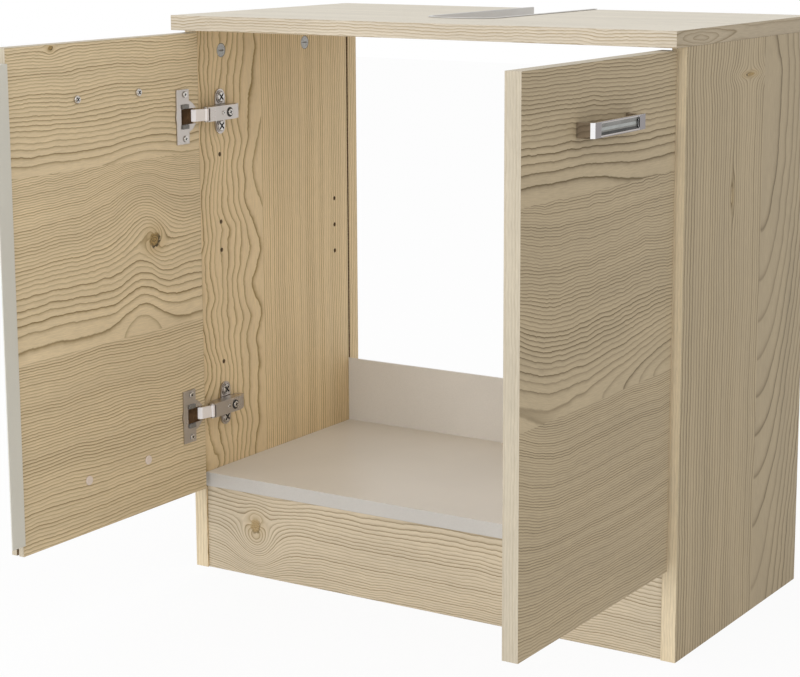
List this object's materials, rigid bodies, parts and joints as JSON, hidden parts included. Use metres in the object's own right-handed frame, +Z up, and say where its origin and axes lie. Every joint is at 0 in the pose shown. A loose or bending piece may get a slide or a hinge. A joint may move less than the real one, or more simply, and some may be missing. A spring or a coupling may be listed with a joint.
{
  "type": "sink base cabinet",
  "caption": "Sink base cabinet with hinged doors, bar handles, a bottom shelf over a plinth and a rear-open siphon cut-out in its top panel.",
  "frame": {"origin": "centre of the plinth's underside, at floor level and midway between the side panels", "axes": "+X to the right seen from the front, +Y to the rear, towards the wall, +Z up; the doors are on the -Y side"},
  "size_m": [0.6204, 0.6363, 0.6261],
  "materials": {
    "side_wood": "pine decor laminate, satin",
    "top_wood": "pale decor laminate, satin",
    "door_wood": "pine decor laminate, satin",
    "plinth_wood": "pine decor laminate, satin",
    "shelf_board": "plain grey-beige laminate, satin",
    "strip_board": "plain grey-beige fibreboard, satin",
    "grey_edging": "light grey",
    "hinge_nickel": "nickel plated",
    "handle_chrome": "polished chrome",
    "screw_zinc": "zinc plated",
    "cam_zinc": "die-cast zinc",
    "cap_plastic": "pale beige"
  },
  "bodies": {
    "carcass": {"left_side_panel": "side_wood", "right_side_panel": "side_wood", "top_panel": "top_wood", "cutout_edging": "grey_edging", "left_front_cam": "cam_zinc", "left_front_cam_bolt": "cam_zinc", "left_rear_cam": "cam_zinc", "left_rear_cam_bolt": "cam_zinc", "right_front_cam": "cam_zinc", "right_front_cam_bolt": "cam_zinc", "right_rear_cam": "cam_zinc", "right_rear_cam_bolt": "cam_zinc", "bottom_shelf": "shelf_board", "plinth": "plinth_wood", "back_strip": "strip_board", "left_upper_hinge_plate": "hinge_nickel", "left_upper_plate_screw_1": "hinge_nickel", "left_upper_plate_screw_2": "hinge_nickel", "left_upper_hinge_arm": "hinge_nickel", "left_lower_hinge_plate": "hinge_nickel", "left_lower_plate_screw_1": "hinge_nickel", "left_lower_plate_screw_2": "hinge_nickel", "left_lower_hinge_arm": "hinge_nickel", "right_upper_hinge_plate": "hinge_nickel", "right_upper_plate_screw_1": "hinge_nickel", "right_upper_plate_screw_2": "hinge_nickel", "right_upper_hinge_arm": "hinge_nickel", "right_lower_hinge_plate": "hinge_nickel", "right_lower_plate_screw_1": "hinge_nickel", "right_lower_plate_screw_2": "hinge_nickel", "right_lower_hinge_arm": "hinge_nickel"},
    "left_door": {"left_door": "door_wood", "left_handle": "handle_chrome", "left_handle_screw_1": "screw_zinc", "left_cover_cap_1": "cap_plastic", "left_handle_screw_2": "screw_zinc", "left_cover_cap_2": "cap_plastic", "left_upper_hinge_cup": "hinge_nickel", "left_upper_cup_screw_1": "hinge_nickel", "left_upper_cup_screw_2": "hinge_nickel", "left_lower_hinge_cup": "hinge_nickel", "left_lower_cup_screw_1": "hinge_nickel", "left_lower_cup_screw_2": "hinge_nickel", "closing_strip": "grey_edging"},
    "right_door": {"right_door": "door_wood", "right_handle": "handle_chrome", "right_handle_screw_1": "screw_zinc", "right_cover_cap_1": "cap_plastic", "right_handle_screw_2": "screw_zinc", "right_cover_cap_2": "cap_plastic", "right_upper_hinge_cup": "hinge_nickel", "right_upper_cup_screw_1": "hinge_nickel", "right_upper_cup_screw_2": "hinge_nickel", "right_lower_hinge_cup": "hinge_nickel", "right_lower_cup_screw_1": "hinge_nickel", "right_lower_cup_screw_2": "hinge_nickel"},
    "left_upper_hinge_link": {"left_upper_hinge_link": "hinge_nickel"},
    "left_lower_hinge_link": {"left_lower_hinge_link": "hinge_nickel"},
    "right_upper_hinge_link": {"right_upper_hinge_link": "hinge_nickel"},
    "right_lower_hinge_link": {"right_lower_hinge_link": "hinge_nickel"}
  },
  "joints": [
    {"name": "left_door_hinge", "type": "hinge", "parent": "carcass", "child": "left_door", "pos_m": [-0.291, -0.0263, 0.351], "axis": [0, 0, -1], "range_deg": [-90, 20]},
    {"name": "right_door_hinge", "type": "hinge", "parent": "carcass", "child": "right_door", "pos_m": [0.291, -0.0263, 0.351], "axis": [0, 0, 1], "range_deg": [-90, 20]},
    {"name": "left_upper_link_pivot", "type": "hinge", "parent": "carcass", "child": "left_upper_hinge_link", "pos_m": [-0.271, -0.012, 0.517], "axis": [0, 0, 1], "range_deg": [-56, 14]},
    {"name": "left_lower_link_pivot", "type": "hinge", "parent": "carcass", "child": "left_lower_hinge_link", "pos_m": [-0.271, -0.012, 0.185], "axis": [0, 0, 1], "range_deg": [-56, 14]},
    {"name": "right_upper_link_pivot", "type": "hinge", "parent": "carcass", "child": "right_upper_hinge_link", "pos_m": [0.271, -0.012, 0.517], "axis": [0, 0, -1], "range_deg": [-56, 14]},
    {"name": "right_lower_link_pivot", "type": "hinge", "parent": "carcass", "child": "right_lower_hinge_link", "pos_m": [0.271, -0.012, 0.185], "axis": [0, 0, -1], "range_deg": [-56, 14]}
  ],
  "couplings": [
    {"joint": "left_upper_link_pivot", "follows": "left_door_hinge", "ratio": 0.611},
    {"joint": "left_lower_link_pivot", "follows": "left_door_hinge", "ratio": 0.611},
    {"joint": "right_upper_link_pivot", "follows": "right_door_hinge", "ratio": 0.611},
    {"joint": "right_lower_link_pivot", "follows": "right_door_hinge", "ratio": 0.611}
  ]
}
